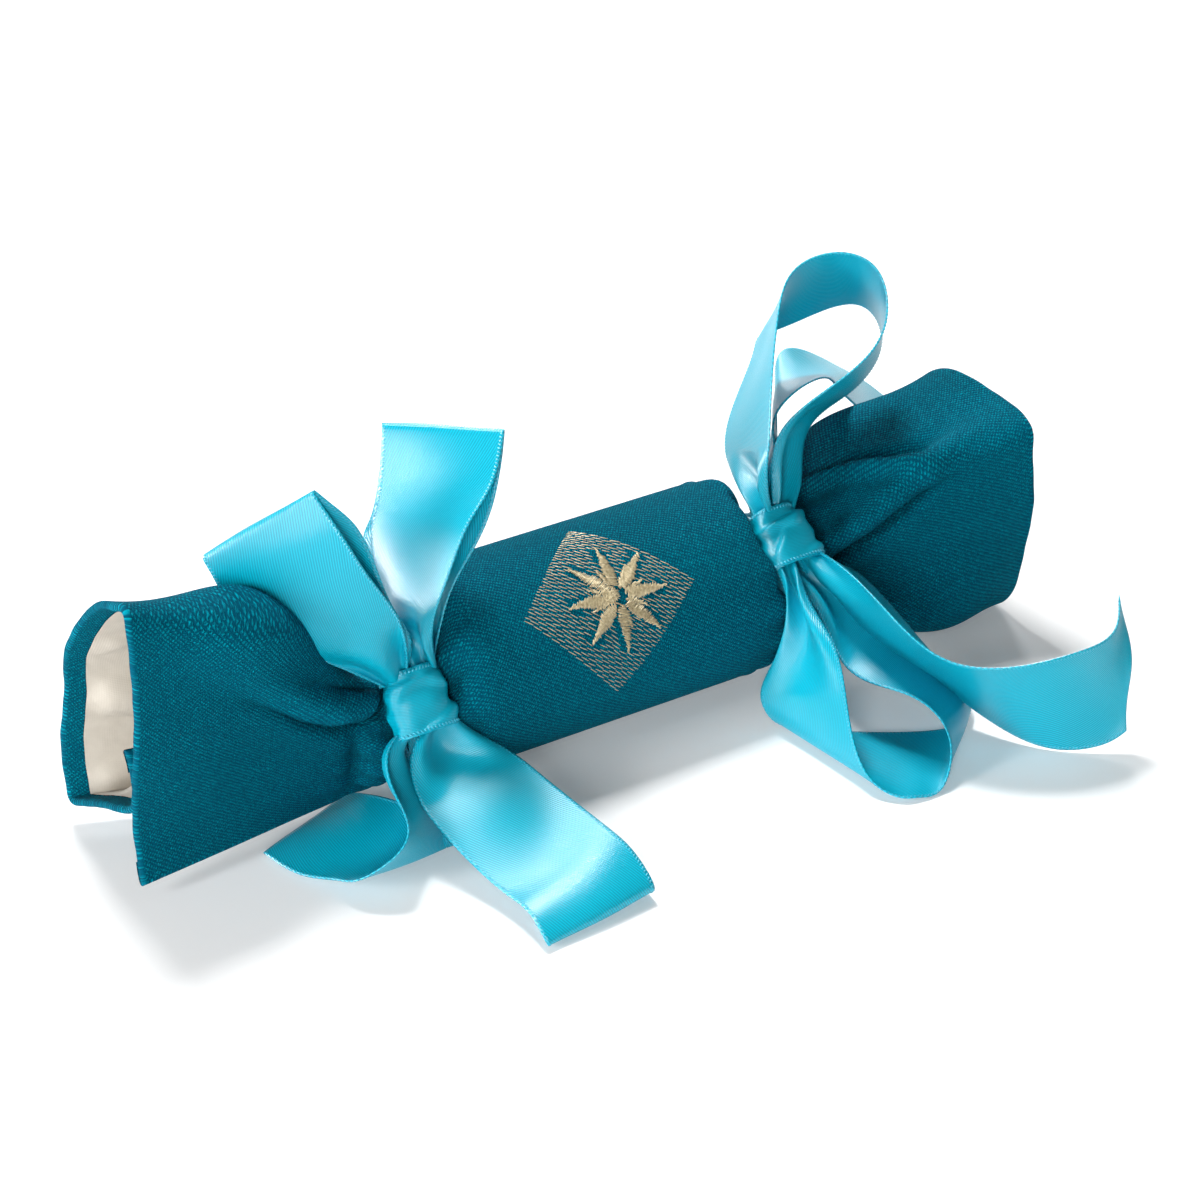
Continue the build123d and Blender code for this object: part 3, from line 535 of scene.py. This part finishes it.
# Pairs of places on a ribbon's two edges, as few as its path needs. A fit to its outline in the photograph
# gave them, at the ribbon's full width, and about a third were then moved
EDGES = {
    "left_loop_low": [
        ((-48, -12.5, 37.5), (-56.5, -6, 33)), ((-51, -12.5, 44.5), (-61.5, -2.5, 36.5)),
        ((-57.5, -10.5, 64), (-74, 2, 49.5)), ((-63, -8, 71), (-81, 2, 58)),
        ((-64.5, -7, 72.5), (-83.5, 2.5, 60)), ((-64, -8.5, 70.5), (-83, 1, 57.5)),
        ((-62.5, -11.5, 66.5), (-82, 0, 54.5)), ((-57.5, -14.3, 55.5), (-74.5, -5, 44.5)),
        ((-52, -15.8, 44.5), (-64.5, -9, 36.3))],
    "left_loop_high": [
        ((-46.5, -5.5, 36), (-44, -14, 39.5)), ((-46, 4, 45.5), (-41, -15, 50)),
        ((-44.5, 8, 52), (-35, -13, 59)), ((-41, 10.5, 60), (-27, -9.5, 65)),
        ((-37.5, 15, 69.5), (-21.5, -4.5, 72)), ((-43, 10.5, 53), (-26.5, -8.5, 60)),
        ((-45.5, 9.5, 49.5), (-29.5, -9.5, 55)), ((-45.5, -2, 37), (-37.5, -9.5, 43))],
    "left_tail_front": [
        ((-53.5, -21, 18), (-39, -20.5, 18)), ((-56, -28.5, 12), (-33, -26.5, 13.5)),
        ((-56, -32.5, 10.5), (-31.5, -31.5, 12)), ((-52.5, -54.5, 4.5), (-28.5, -53.5, 9.5)),
        ((-52.5, -64, 4.2), (-27.3, -61.5, 6.6)), ((-52.3, -68, 1.3), (-27, -65.5, 2.8)),
        ((-51, -65.5, 0.4), (-26.6, -63, 0.9)), ((-50, -60, 0.4), (-26, -57, 0.5))],
    "left_tail_curl": [
        ((-59.5, -22.5, 20), (-51.5, -15.5, 16.5)), ((-61, -26, 17.5), (-50, -16, 13)),
        ((-66.5, -39, 11), (-48, -25.5, 2)), ((-74.5, -36, 5.5), (-50, -29.5, 1)),
        ((-76, -32.5, 4), (-52, -28, 4.5)), ((-80, -22.5, 1.3), (-56, -13.5, 5)),
        ((-82, -12.5, 1), (-59, -4, 2))],
    "right_loop_high": [
        ((39, -8, 44.5), (39.5, 0.5, 38.5)), ((39, -8, 52.5), (42.5, 11.5, 41)),
        ((48.5, 3, 75.5), (55.5, 20.5, 59)), ((51, 5, 79.5), (57.5, 21.5, 61)),
        ((54.5, 6.5, 82.5), (61, 20, 62.5)), ((70, -1.5, 82), (79, 14.5, 65.5)),
        ((68.5, -7, 73), (81, 10, 60)), ((57, -7.5, 63), (73, 8, 50.5)), ((45.5, -3.5, 53), (59, 6.5, 44.5)),
        ((43, -3.5, 44), (52, -0.5, 38.5))],
    "right_tail_back": [
        ((46.5, 0.5, 48), (61.5, 20.5, 46)), ((48.5, 3, 52.5), (68.5, 29.5, 50.5)),
        ((65, 8, 55), (88, 34, 41)), ((70, 10.5, 50.5), (95.5, 35.5, 35.5)),
        ((80, 14.5, 40.5), (107, 36, 25))],
    "right_loop_low": [
        ((37, -27, 25.5), (34, -23.5, 21)), ((34.5, -40, 20), (28.5, -23.5, 9.5)),
        ((30, -51, 9.5), (26.5, -26, 4)), ((29, -57, 4.5), (28, -29, 1.6)),
        ((31.5, -63.5, 1.5), (36, -36.5, 0.8)), ((36, -66, 1), (49, -45, 0.5)),
        ((41.5, -66, 1.5), (59, -49, 1)), ((46, -62.5, 6.5), (64, -46.5, 2.5)),
        ((45.5, -51, 13), (63.5, -34, 9)),
        ((40.5, -31.5, 15), (54.5, -18, 24)), ((41, -25.5, 19.5), (51.5, -16, 25.5))],
    "right_tail_front": [
        ((44.5, -16, 23.5), (45, -22, 31.5)), ((46.5, -17.5, 20.5), (44.5, -29.5, 31.5)),
        ((51, -25, 13.5), (44, -42.5, 29.5)), ((58.5, -40.5, 7.5), (48, -56.5, 24)),
        ((71, -67, 0.5), (71, -70.5, 25.5)), ((79.5, -72.5, 2.5), (82.5, -68, 27)),
        ((82.5, -73.5, 4.5), (86.5, -63.5, 30))],
}
# Each ribbon's neck, and where a knot grips its ends: upper or lower face, place along X, and depth. A bow
# arches a ribbon where it is narrowed, and a dome, with its place along the ribbon, is pressed into it
GRIPS = {
    "left_loop_low": {"side": -1, "start": (1, -3.5, -1.5), "end": (1, -3.5, 0.9), "bow": -1.0},
    "left_loop_high": {"side": -1, "start": (1, 3.0, 0.9), "end": (1, 3.0, -1.5), "bow": -0.6},
    "left_tail_front": {"side": -1, "start": (-1, 2.8, 0.8), "dome": (1.2, 20.0)},
    "left_tail_curl": {"side": -1, "start": (-1, -3.0, 0.6)},
    "right_loop_high": {"side": 1, "start": (1, -3.0, 1.0), "end": (1, 2.5, 0.2)},
    "right_tail_back": {"side": 1, "start": (1, -0.5, -1.8)},
    "right_loop_low": {"side": 1, "start": (-1, -3.0, 0.9), "end": (-1, 0.0, -1.6)},
    "right_tail_front": {"side": 1, "start": (-1, 2.8, 0.9), "dome": (3.5, 88.0)},
}


def knot_frame(side):
    """Middle of a knot, its upward direction along the band, and its outward direction."""
    turn = radians(KNOT_ANGLE[side])
    out = np.array((0, cos(turn), sin(turn)))
    rise = np.array((0, sin(turn), -cos(turn)))
    middle = np.array((side * NECK_X[side] + KNOT_SHIFT[side], *NECK_PLACE[side]))
    return middle + out * (BAND_OUTSIDE + KNOT_GAP + KNOT_SIZE[2] / 2), rise, out


def grip(side, held, beside):
    """Both edges of a ribbon inside a knot, in the order of the pair of edge places next to it."""
    middle, rise, out = knot_frame(side)
    face, along, depth = held
    centre = middle + rise * face * GRIP_RISE + np.array((along, 0, 0)) + out * depth
    order = np.sign(np.dot(np.subtract(beside[:3], beside[3:]), (1, -0.5, 0)))
    half = np.array((GRIP_HALF * order, 0, 0))
    return [*(centre + half), *(centre - half)]


def distances(line):
    """Distance along a line of points, from its start."""
    return np.concatenate(((0,), np.cumsum(np.linalg.norm(np.diff(line, axis=0), axis=1))))


RIBBON_STEP = 0.7
RIBBON_COLUMNS = 37
DOME_REACH = 9.0


def ribbon_grid(name):
    """Points along and across a ribbon, ruled between its two edges and pleated where a knot narrows it."""
    held = GRIPS[name]
    end = held.get("end")
    bow = held.get("bow", 0.0)
    dome, dome_place = held.get("dome", (0.0, 0.0))
    stops = [[*first, *second] for first, second in EDGES[name]]
    stops.insert(0, grip(held["side"], held["start"], stops[0]))
    if end:
        stops.append(grip(held["side"], end, stops[-1]))
    reach = distances(np.array(stops))[-1] / 2**0.5
    line = smooth_through(stops, int(reach / RIBBON_STEP))
    first, second = line[:, :3], line[:, 3:]
    t = np.linspace(0, 1, RIBBON_COLUMNS)
    grid = first[:, None] * (1 - t)[None, :, None] + second[:, None] * t[None, :, None]
    chord = np.minimum(np.linalg.norm(first - second, axis=1), RIBBON_WIDTH)
    narrow = np.sqrt(RIBBON_WIDTH**2 - chord**2)
    along = distances((first + second) / 2)
    from_knot = np.minimum(along, along[-1] - along) if end else along
    free = ease((from_knot - 4) / 12) if bow else np.zeros_like(along)
    pleat = 0.12 * np.maximum(narrow - 8, 0) * (0.4 + 0.6 * ease(from_knot / 8)) * (1 - free)
    wave = np.sin(pi * 3 * t + 0.5 * np.sin(2 * pi * t)) * (1 if len(name) % 2 else -1)
    spare = RIBBON_WIDTH - chord
    arch = bow * free * spare**2 / (spare + 1.5) / (1 + spare / 6)
    press = dome * np.exp(-((along - dome_place) / DOME_REACH) ** 2)
    ripple = 0.35 * np.sin(along[:, None] / 5.5 + 2.6 * t[None, :] + len(name)) * np.sin(pi * t)[None, :]
    height = (pleat[:, None] * wave[None, :] + arch[:, None] * np.sin(pi * t)[None, :]
              + press[:, None] * np.sin(pi * t)[None, :] ** 2 + ripple)
    grid = grid + facing(grid)[0] * height[..., None]
    grid[..., 2] = np.maximum(grid[..., 2], RIBBON_THICKNESS)
    lengths = distances(first)[:, None] * (1 - t)[None, :] + distances(second)[:, None] * t[None, :]
    spread = np.stack(np.broadcast_arrays(t[None, :] * RIBBON_WIDTH, lengths), axis=2)
    return grid, spread, along[-1]


def stitch(start, end, out, width, height):
    """Turn and middle of one stitch between two places, on cloth that faces out."""
    run = end - start
    side = np.cross(out, run)
    side = side / np.linalg.norm(side)
    lift = np.cross(run, side) / np.linalg.norm(run)
    return np.array((side * width, lift * height, run)), (start + end) / 2


def stitched_object(name, stitches, material):
    """One object of many stitches, each a long rounded grain of thread."""
    grain = bmesh.new()
    bmesh.ops.create_uvsphere(grain, u_segments=6, v_segments=4, radius=0.5)
    corners = np.array([corner.co for corner in grain.verts])
    faces = np.array([[corner.index for corner in face.verts] for face in grain.faces], dtype=object)
    grain.free()
    places = np.concatenate([corners @ turn + middle for turn, middle in stitches]) * MM
    data = bpy.data.meshes.new(name)
    data.from_pydata(places.tolist(), [], [[corner + k * len(corners) for corner in face]
                                           for k in range(len(stitches)) for face in faces])
    data.shade_smooth()
    data.materials.append(material)
    piece = bpy.data.objects.new(name, data)
    bpy.context.collection.objects.link(piece)
    return piece


STITCH_PITCH = 0.75
STITCH_SLANT = 0.25
STITCH_REACH = 1.3
STITCH_MARGIN = 0.4
OVERCAST_WIDTH = 0.42
OVERCAST_HEIGHT = 0.3 + RIBBON_THICKNESS


def overcast_edge(edge, within, out):
    """Slanted stitches over one edge of a ribbon, from a line on its edge towards the next line within it."""
    run = distances(edge)
    inner = edge + STITCH_REACH * (within - edge)
    made = []
    for at in np.arange(STITCH_MARGIN, run[-1] - STITCH_MARGIN, STITCH_PITCH):
        low, high, facing_out = (np.array([np.interp(at + shift, run, line[:, n]) for n in range(3)])
                                 for shift, line in ((-STITCH_SLANT, edge), (STITCH_SLANT, inner), (0, out)))
        made.append(stitch(low, high, facing_out, OVERCAST_WIDTH, OVERCAST_HEIGHT))
    return made


# The tail behind the right end is pushed by it, so it is kept off the barrel's body, unlike the other ribbons
for name, held in GRIPS.items():
    grid, spread, length = ribbon_grid(name)
    ribbon = sheet_object(f"satin_{name}", grid, spread, satin)
    thicken = ribbon.modifiers.new("thickness", "SOLIDIFY")
    thicken.thickness = RIBBON_THICKNESS * MM
    thicken.offset = 0.0
    out = facing(grid)[0]
    edging = []
    for column, inward in ((0, 1), (-1, -2)):
        edging += overcast_edge(grid[:, column], grid[:, inward], out[:, column])
    edges = stitched_object(f"overcast_{name}", edging, overcast)
    for piece in (ribbon, edges):
        if name == "right_tail_back":
            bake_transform(piece)
        else:
            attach(piece, "barrel")
    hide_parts(name)


# Knots and bands. The ribbon passes once over the front of each knot, from side to side, and the knot sits on
# the band that draws the neck in. Both are the same satin, squeezed into soft ridges, and the knot has
# overcast lips.
def squared(value):
    """A sine or cosine flattened towards 1 and -1, for a round that is nearly a rectangle."""
    return np.sign(value) * np.abs(value) ** 0.75


def closed_object(name, grid, spread, centre):
    """Mesh a tube of points with its faces outwards."""
    order = 1 if np.sum(facing(grid)[0] * (grid - centre)) < 0 else -1
    return sheet_object(name, grid[::order], spread[::order], satin)


# Folds over the front of each knot: two places from side to side and from bottom to top, half width, and step
KNOT_FOLDS = {
    -1: [((-1.0, 0.0), (-0.1, 0.5), 0.12, 0.55), ((0.0, -0.8), (1.0, -0.3), 0.08, -0.5),
         ((0.4, 0.35), (1.0, 0.15), 0.10, 0.35), ((-0.6, 0.62), (0.8, 0.74), 0.08, -0.35)],
    1: [((-0.5, 0.40), (0.9, 0.70), 0.07, -0.8), ((-1.0, 0.25), (0.0, 0.20), 0.10, 0.5),
        ((0.0, 0.20), (-0.5, -0.35), 0.10, 0.5), ((0.3, -0.75), (1.0, -0.5), 0.09, -0.4)],
}


def knot_fold(across, level, first, second, half_width, step):
    """Height of one fold over a knot: a sharp edge with a slope behind it that dies away."""
    run = np.subtract(second, first)
    share = np.clip(((across - first[0]) * run[0] + (level - first[1]) * run[1]) / np.dot(run, run), 0, 1)
    past_end = np.hypot(across - first[0] - share * run[0], level - first[1] - share * run[1])
    beyond = ((level - first[1]) * run[0] - (across - first[0]) * run[1]) / np.hypot(*run)
    return step * np.tanh(beyond / half_width) * np.exp(-(past_end / (4 * half_width)) ** 2)


for side, name in ((-1, "left"), (1, "right")):
    middle, rise, out = knot_frame(side)
    around = np.linspace(0, 2 * pi, 161)[None, :]
    level = np.linspace(-1.2, 1.2, 97)[:, None]
    body = np.clip(level, -1, 1)
    lip = ease((np.abs(level) - 1) / 0.2)
    ridge = 0.22 * np.sin(9.5 * body + 1.6 * np.cos(around) + side) * np.cos(around) ** 6
    for fold in KNOT_FOLDS[side]:
        ridge = ridge + knot_fold(np.cos(around), body, *fold) * ease(np.sin(around) * 3 + 0.6)
    ridge = ridge * (1 - body**8)
    along = KNOT_SIZE[0] / 2 * (1.06 - 0.13 * body - 0.16 * body**2) * (1 - 0.4 * lip) + ridge
    depth = KNOT_SIZE[2] / 2 * (1.12 - 0.2 * body**2) * (1 - 0.4 * lip) + ridge
    height = KNOT_SIZE[1] / 2 * body * (1 - 0.06 * lip)
    grid = (middle + np.array((1, 0, 0)) * (along * squared(np.cos(around)))[..., None]
            + out * (depth * squared(np.sin(around)))[..., None]
            + rise * np.broadcast_to(height, ridge.shape)[..., None])
    spread = np.stack(np.broadcast_arrays(body * RIBBON_WIDTH / 2, around * 5), axis=2)
    knot = closed_object(f"satin_{name}_knot", grid, spread, middle)
    lips = []
    for row, inward in ((10, 13), (-11, -14)):
        lips += overcast_edge(grid[row], grid[inward], grid[row] - middle)
    knot_lips = stitched_object(f"overcast_{name}_knot", lips, overcast)
    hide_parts(f"{name}_knot")

    along = np.linspace(-BAND_HALF, BAND_HALF, 19)[:, None]
    around = np.linspace(0, 2 * pi, 145)[None, :]
    radius = BAND_OUTSIDE - 0.25 + 0.3 * np.sin(2.6 * along + 1.5 * np.sin(2 * around)) - 0.012 * along**2
    neck = np.array((side * NECK_X[side], *NECK_PLACE[side]))
    ring = np.stack(np.broadcast_arrays(along, radius * np.cos(around), radius * np.sin(around)), axis=2)
    spread = np.stack(np.broadcast_arrays(along, around * BAND_OUTSIDE), axis=2)
    band = closed_object(f"satin_{name}_band", neck + ring, spread, neck)
    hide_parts(f"{name}_ribbon_band")
    for piece in (knot, knot_lips, band):
        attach(piece, "barrel")


# Embroidery. A star of eight leaf-shaped rays in raised satin stitch, over a square of running stitches that
# stands on its corner. Both are sewn through the velour in gold thread.
# Twisted rayon thread: pale gold, blotched with painted shade between its strands and painted glints on them,
# and a bright narrow shine
gold = mottled("gold_rayon_thread", "#6a5730", "#f0e2ba", 0.5, 3.0,
               {"Roughness": 0.32, "Metallic": 0.3, "Specular IOR Level": 0.7})

# Place of the star's middle along X and in degrees round the barrel
STAR_PLACE = (-2.75, 139.0)
RAYS = 8
RAY_START = 2.4
RAY_LENGTH = 11.2
RAY_HALF = 1.5
RAY_TURN = -4.0
SMALL_LEAF = (2.0, 6.6)
DOT_SHIFT = (-1.4, 0.25)
DOT_HALF = 1.3
DOT_STITCHES = 40
SATIN_PITCH = 0.3
SATIN_SLANT = 0.3
DIAMOND_SIDE = 27.9
DIAMOND_SHIFT = np.array((-1.7, 0.0))
DIAMOND_TURN = radians(-49)
ROW_PITCH = 0.72
RUN_STITCH = 2.2
RUN_SLANT = 0.16
SHORTEST_RUN = 0.5
vary = np.random.default_rng(5)


def on_barrel(p, q, raised):
    """A place on the velour over the tube, p along X and q up round it from the star, and its outward way."""
    surface = TUBE_RADIUS + LAYER_GAP + MIDDLE_OF_CLOTH + EDGE_ROUND
    base = surface + TURN_PITCH * (STAR_PLACE[1] - BARREL_EDGE + ROLL_ANGLE) / 360
    angle = STAR_PLACE[1] - np.degrees(q / base)
    radius = surface + TURN_PITCH * (angle - BARREL_EDGE + ROLL_ANGLE) / 360 + raised
    out = np.array((0, cos(radians(angle)), sin(radians(angle))))
    return np.array((STAR_PLACE[0] + p, *AXIS_PLACE)) + out * radius, out


def sew(start, end, raised, width, height):
    """One stitch on the barrel between two flat places."""
    first, out = on_barrel(*start, raised)
    second, _ = on_barrel(*end, raised)
    return stitch(first, second, out, width, height)


def leaf(start, end, half, turn, raised):
    """Satin stitches side by side across one leaf of the star, with a slant and a ragged edge."""
    spine = np.array((cos(turn), sin(turn)))
    beside = np.array((-sin(turn), cos(turn)))
    made = []
    for s in np.arange(start, end, SATIN_PITCH):
        t = (s - start) / (end - start)
        wide = half * min(0.6 + 1.6 * t, 1.0, 1.5 * (1 - t) + 0.1)
        low, high = wide + vary.normal(0, 0.16, 2)
        made.append(sew(spine * (s - SATIN_SLANT) - beside * low, spine * (s + SATIN_SLANT) + beside * high,
                        raised + vary.uniform(0, 0.12), 0.34, 0.5))
    return made


star = []
for ray in range(RAYS):
    turn = radians(RAY_TURN + 360 / RAYS * ray)
    star += leaf(RAY_START, RAY_LENGTH, RAY_HALF, turn, 0.2)
    star += leaf(*SMALL_LEAF, 0.5 * RAY_HALF, turn + radians(19 + vary.normal(0, 3)), 0.1)
for k in range(DOT_STITCHES):
    turn = pi * k / DOT_STITCHES
    shift = vary.normal(0, 0.5, 2) + DOT_SHIFT
    spine = np.array((cos(turn), sin(turn))) * DOT_HALF
    star.append(sew(shift - spine, shift + spine, 0.35 + vary.uniform(0, 0.3), 0.3, 0.4))

running = []
half_side = DIAMOND_SIDE / 2
row_way = np.array((cos(DIAMOND_TURN), sin(DIAMOND_TURN)))
row_step = np.array((-sin(DIAMOND_TURN), cos(DIAMOND_TURN)))
half_sector = 180 / RAYS
for row, offset in enumerate(np.arange(-half_side, half_side + 0.1, ROW_PITCH)):
    shift = RUN_STITCH * (0.37 * row % 1 + vary.uniform(-0.1, 0.1))
    for at in np.arange(-half_side - shift, half_side, RUN_STITCH):
        low = max(at, -half_side)
        high = min(at + RUN_STITCH + vary.normal(0, 0.15), half_side)
        base = DIAMOND_SHIFT + row_step * offset
        middle = base + row_way * (low + high) / 2
        away = np.hypot(*middle)
        bearing = np.degrees(np.arctan2(middle[1], middle[0])) - RAY_TURN
        from_ray = (bearing + half_sector) % (2 * half_sector) - half_sector
        under = away < RAY_LENGTH and abs(away * sin(radians(from_ray))) < RAY_HALF
        if high - low > SHORTEST_RUN and not under and away > RAY_START:
            slant = row_step * (RUN_SLANT + vary.normal(0, 0.06))
            running.append(sew(base - slant + row_way * low, base + slant + row_way * high, 0.04, 0.2, 0.22))

for stitches, name in ((star, "star_embroidery"), (running, "diamond_stitching")):
    piece = stitched_object(f"thread_{name}", stitches, gold)
    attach(piece, "barrel")
    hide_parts(name)


# Studio. A plain white floor under a dim white sky, lit by soft lamps in front, to the left, overhead and
# behind. Each has a twin for shine only, so that the satin can gleam while the floor and cloth stay as they
# are, and one more lamp to the side lights the shine of the right bow.
floor_material = new_material("white_floor")
floor_shader = add(floor_material, "ShaderNodeBsdfPrincipled", {
    "Base Color": linear("#efefef"), "Roughness": 0.9, "Specular IOR Level": 0.0,
    "Emission Color": linear("#ffffff"), "Emission Strength": 0.16})
add(floor_material, "ShaderNodeOutputMaterial", {"Surface": floor_shader.outputs[0]})
floor_mesh = bmesh.new()
bmesh.ops.create_grid(floor_mesh, x_segments=1, y_segments=1, size=4.0)
floor_data = bpy.data.meshes.new("floor")
floor_mesh.to_mesh(floor_data)
floor_mesh.free()
floor_data.materials.append(floor_material)
floor = bpy.data.objects.new("floor", floor_data)
bpy.context.collection.objects.link(floor)

bpy.context.scene.view_settings.view_transform = "Standard"
world = bpy.data.worlds.new("studio")
bpy.context.scene.world = world
world.use_nodes = True
world.node_tree.nodes["Background"].inputs["Color"].default_value = (1, 1, 1, 1)
world.node_tree.nodes["Background"].inputs["Strength"].default_value = 0.12
# Name, place in millimetres, width and height in metres, watts, and watts for shine only
LAMPS = (
    ("key", (-560, -690, 330), 0.2, 0.3, 4.5, 3.5), ("left", (-760, -60, 260), 0.2, 0.3, 4.5, 1.5),
    ("overhead", (40, 380, 850), 0.22, 0.22, 9.0, 7.0), ("back", (480, 640, 480), 0.2, 0.2, 2.5, 8.0),
    ("side", (-750, 400, 110), 0.3, 0.2, 0.0, 24.0))
LAMP_AIM = Vector((0, 0, 20))


def add_lamp(name, spot, width, height, watts, shine_only):
    light = bpy.data.lights.new(name, "AREA")
    light.shape = "RECTANGLE"
    light.size = width
    light.size_y = height
    light.energy = watts
    lamp = bpy.data.objects.new(name, light)
    bpy.context.collection.objects.link(lamp)
    lamp.location = Vector(spot) * MM
    lamp.rotation_euler = (LAMP_AIM - Vector(spot)).to_track_quat("-Z", "Y").to_euler()
    lamp.visible_diffuse = not shine_only


for name, spot, width, height, watts, shine in LAMPS:
    if watts:
        add_lamp(name, spot, width, height, watts, False)
    add_lamp(f"{name}_shine", spot, width, height, shine, True)
